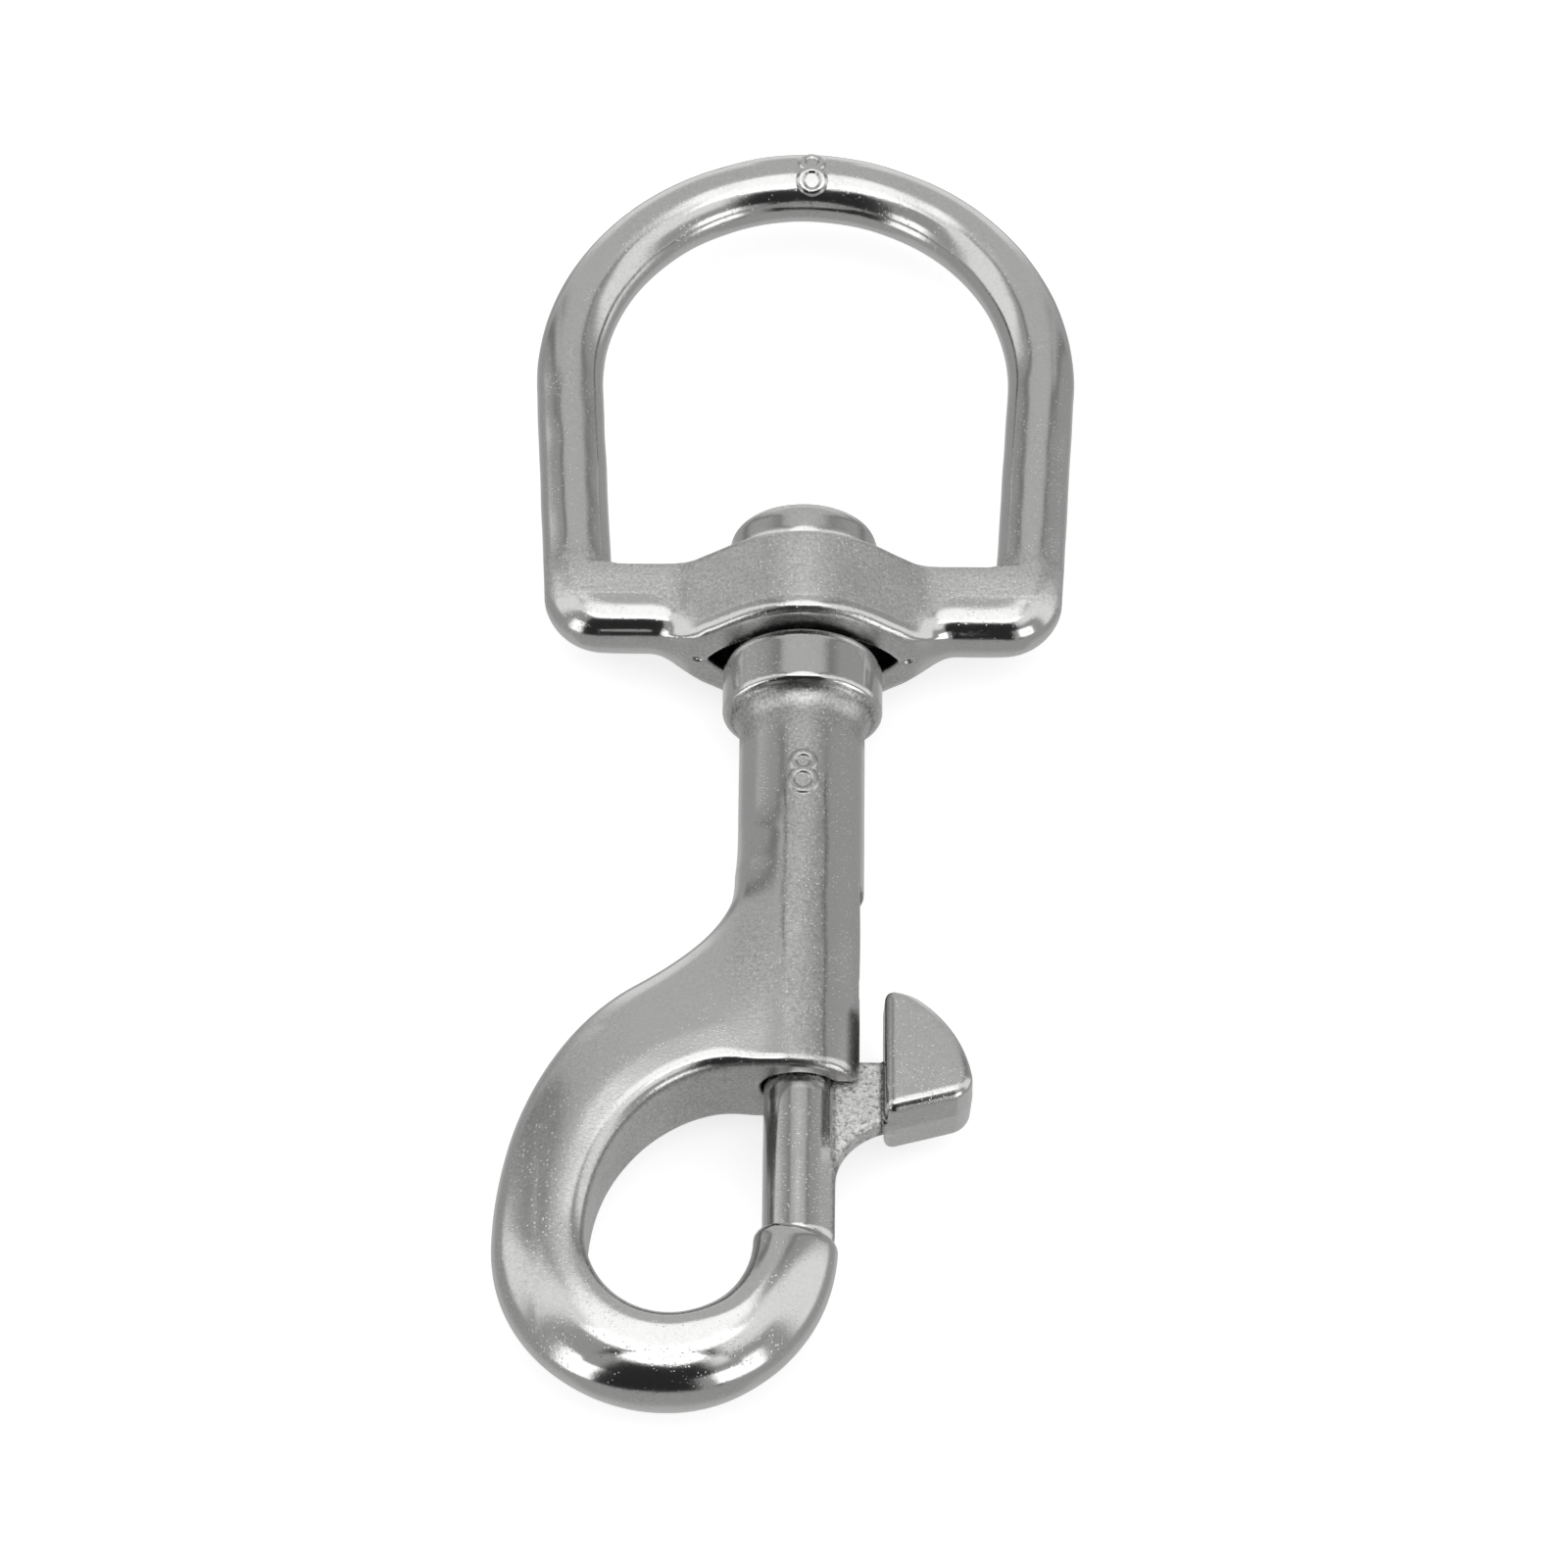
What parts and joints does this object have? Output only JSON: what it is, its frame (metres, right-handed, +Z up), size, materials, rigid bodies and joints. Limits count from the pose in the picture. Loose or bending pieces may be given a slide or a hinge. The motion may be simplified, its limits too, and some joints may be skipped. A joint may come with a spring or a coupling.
{
  "type": "swivel snap hook",
  "caption": "Swivel snap hook: a round sprung bolt shuts the hook's mouth, and a D-shaped webbing eye turns on a headed pin.",
  "frame": {"origin": "centre of the eye's round top, in the part's middle plane and on the swivel axis", "axes": "+Y along the swivel axis from the hook to the eye, +Z up through the thickness as the part lies flat, +X towards the thumb piece"},
  "size_m": [0.0486, 0.1219, 0.0174],
  "materials": {
    "cast_steel": "cast stainless steel, tumbled and polished, with fine pits",
    "turned_steel": "turned stainless steel, polished",
    "spring_steel": "drawn stainless spring wire"
  },
  "bodies": {
    "hook": {"hook_body": "cast_steel", "swivel_pin": "turned_steel", "spring": "spring_steel"},
    "eye": {"eye": "cast_steel"},
    "bolt": {"bolt": "cast_steel"}
  },
  "joints": [
    {"name": "eye_swivel", "type": "hinge", "parent": "hook", "child": "eye", "pos_m": [0, -0.025, 0], "axis": [0, 1, 0], "continuous": true},
    {"name": "bolt_slide", "type": "slide", "parent": "hook", "child": "bolt", "axis": [0, 1, 0], "range_m": [0, 0.015], "stiffness_N_per_m": 350, "springref_m": -0.01, "deforming": ["spring"]}
  ]
}
